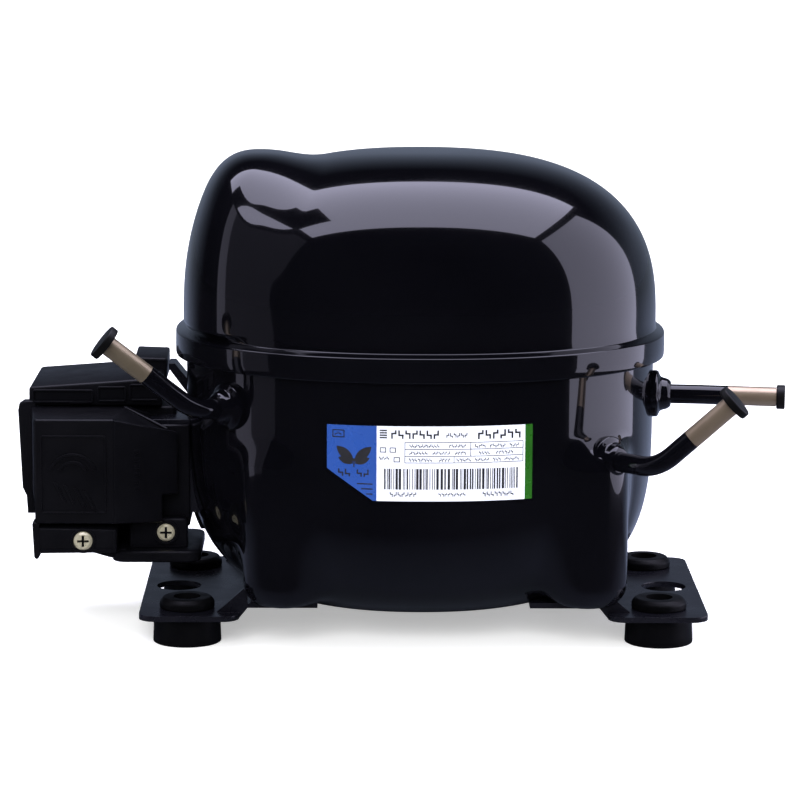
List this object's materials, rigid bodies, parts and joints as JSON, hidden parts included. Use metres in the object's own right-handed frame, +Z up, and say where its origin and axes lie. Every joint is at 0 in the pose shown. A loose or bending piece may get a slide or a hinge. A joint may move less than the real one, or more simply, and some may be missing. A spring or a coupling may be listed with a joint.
{
  "type": "hermetic reciprocating compressor",
  "caption": "Sealed black piston compressor with a domed two-part shell, side terminal box, capped connector tubes and rubber feet.",
  "frame": {"origin": "on the floor, at the centre of the 170 x 70 mm pattern of the four mounting grommets", "axes": "+Z up, +X along the shell away from the terminal box, -Y faces the front with the nameplate label"},
  "size_m": [0.2792, 0.1545, 0.1738],
  "materials": {
    "shell_paint": "glossy black paint over steel",
    "plate_paint": "black painted steel",
    "tube_metal": "copper-plated steel tube, painted black near the shell",
    "grommet_rubber": "satin black rubber",
    "cap_rubber": "matte black rubber",
    "box_plastic": "fine-textured black plastic",
    "relay_plastic": "dark grey moulded plastic",
    "white_plastic": "off-white heat-resistant plastic",
    "label_film": "printed polyester film",
    "zinc_screw": "yellow passivated zinc",
    "bright_steel": "machined steel",
    "spring_steel": "oiled spring steel",
    "terminal_glass": "fused glass",
    "laminations": "stacked electrical steel",
    "copper_wire": "enamelled copper winding",
    "cast_aluminium": "die-cast aluminium",
    "grey_iron": "machined grey iron",
    "gasket_fibre": "compressed fibre gasket",
    "wire_sleeve": "braided insulating sleeve over copper wire"
  },
  "bodies": {
    "housing": {"lower_shell": "shell_paint", "upper_shell": "shell_paint", "base_plate_left": "plate_paint", "base_plate_right": "plate_paint", "grommet_front_left": "grommet_rubber", "grommet_front_right": "grommet_rubber", "grommet_rear_left": "grommet_rubber", "grommet_rear_right": "grommet_rubber", "label": "label_film", "discharge_collar": "shell_paint", "suction_collar": "shell_paint", "process_collar": "shell_paint", "discharge_tube": "tube_metal", "suction_tube": "tube_metal", "process_tube": "tube_metal", "terminal_body": "bright_steel", "terminal_glass": "terminal_glass", "terminal_pins": "bright_steel", "terminal_bracket": "plate_paint", "terminal_cover": "box_plastic", "terminal_box": "box_plastic", "terminal_block": "box_plastic", "cover_screws": "zinc_screw", "start_relay": "relay_plastic", "overload_protector": "relay_plastic", "retaining_clip": "plate_paint", "earth_screw": "zinc_screw", "discharge_line": "bright_steel", "suspension_spring_front_left": "spring_steel", "suspension_spring_front_right": "spring_steel", "suspension_spring_rear_left": "spring_steel", "suspension_spring_rear_right": "spring_steel", "lower_spring_seats": "relay_plastic", "internal_connector": "white_plastic", "lead_wires": "wire_sleeve"},
    "pump_unit": {"cylinder_block": "grey_iron", "stator_core": "laminations", "stator_winding": "copper_wire", "stator_screws": "bright_steel", "valve_plate": "bright_steel", "head_gasket": "gasket_fibre", "cylinder_head": "cast_aluminium", "head_screws": "bright_steel", "suction_muffler": "white_plastic", "upper_spring_seats": "relay_plastic"},
    "crank_and_rotor": {"crankshaft": "grey_iron", "counterweight": "bright_steel", "rotor_core": "laminations", "rotor_cage": "cast_aluminium", "oil_pickup": "bright_steel", "thrust_washer": "bright_steel"},
    "piston_and_pin": {"piston": "bright_steel", "wrist_pin": "bright_steel"},
    "rod": {"connecting_rod": "cast_aluminium"},
    "suction_valve": {"suction_reed": "spring_steel"},
    "discharge_valve": {"discharge_reed": "spring_steel"},
    "discharge_plug": {"discharge_cap": "cap_rubber"},
    "suction_plug": {"suction_cap": "cap_rubber"},
    "process_plug": {"process_cap": "cap_rubber"}
  },
  "joints": [
    {"name": "suspension_bounce", "type": "slide", "parent": "housing", "child": "pump_unit", "axis": [0, 0, 1], "range_m": [-0.0015, 0.0015], "stiffness_N_per_m": 16000, "springref_m": 0.0023, "deforming": ["suspension_spring_front_left", "suspension_spring_front_right", "suspension_spring_rear_left", "suspension_spring_rear_right", "discharge_line", "lead_wires"]},
    {"name": "crank_turn", "type": "hinge", "parent": "pump_unit", "child": "crank_and_rotor", "pos_m": [0.004, 0, 0.1], "axis": [0, 0, 1], "range_deg": [-18, 18]},
    {"name": "piston_slide", "type": "slide", "parent": "pump_unit", "child": "piston_and_pin", "axis": [-1, 0, 0], "range_m": [-0.0026, 0.0026]},
    {"name": "rod_swing", "type": "hinge", "parent": "piston_and_pin", "child": "rod", "pos_m": [-0.03533, 0, 0.122], "axis": [0, 0, 1], "range_deg": [-2.2, 2.2]},
    {"name": "suction_reed_lift", "type": "hinge", "parent": "pump_unit", "child": "suction_valve", "pos_m": [-0.0498, 0, 0.1335], "axis": [0, 1, 0], "range_deg": [-5, 0], "stiffness_Nm_per_rad": 0.02},
    {"name": "discharge_reed_lift", "type": "hinge", "parent": "pump_unit", "child": "discharge_valve", "pos_m": [-0.0532, 0, 0.1099], "axis": [0, 1, 0], "range_deg": [-5, 0], "stiffness_Nm_per_rad": 0.02},
    {"name": "discharge_cap_pull", "type": "slide", "parent": "housing", "child": "discharge_plug", "axis": [-0.7802, -0.0853, 0.6197], "range_m": [0, 0.06]},
    {"name": "suction_cap_pull", "type": "slide", "parent": "housing", "child": "suction_plug", "axis": [0.993, -0.118, -0.0107], "range_m": [0, 0.06]},
    {"name": "process_cap_pull", "type": "slide", "parent": "housing", "child": "process_plug", "axis": [0.7265, -0.1255, 0.6756], "range_m": [0, 0.06]}
  ],
  "couplings": [
    {"joint": "piston_slide", "follows": "crank_turn", "m_per_rad": 0.007713},
    {"joint": "rod_swing", "follows": "crank_turn", "ratio": -0.11323}
  ]
}
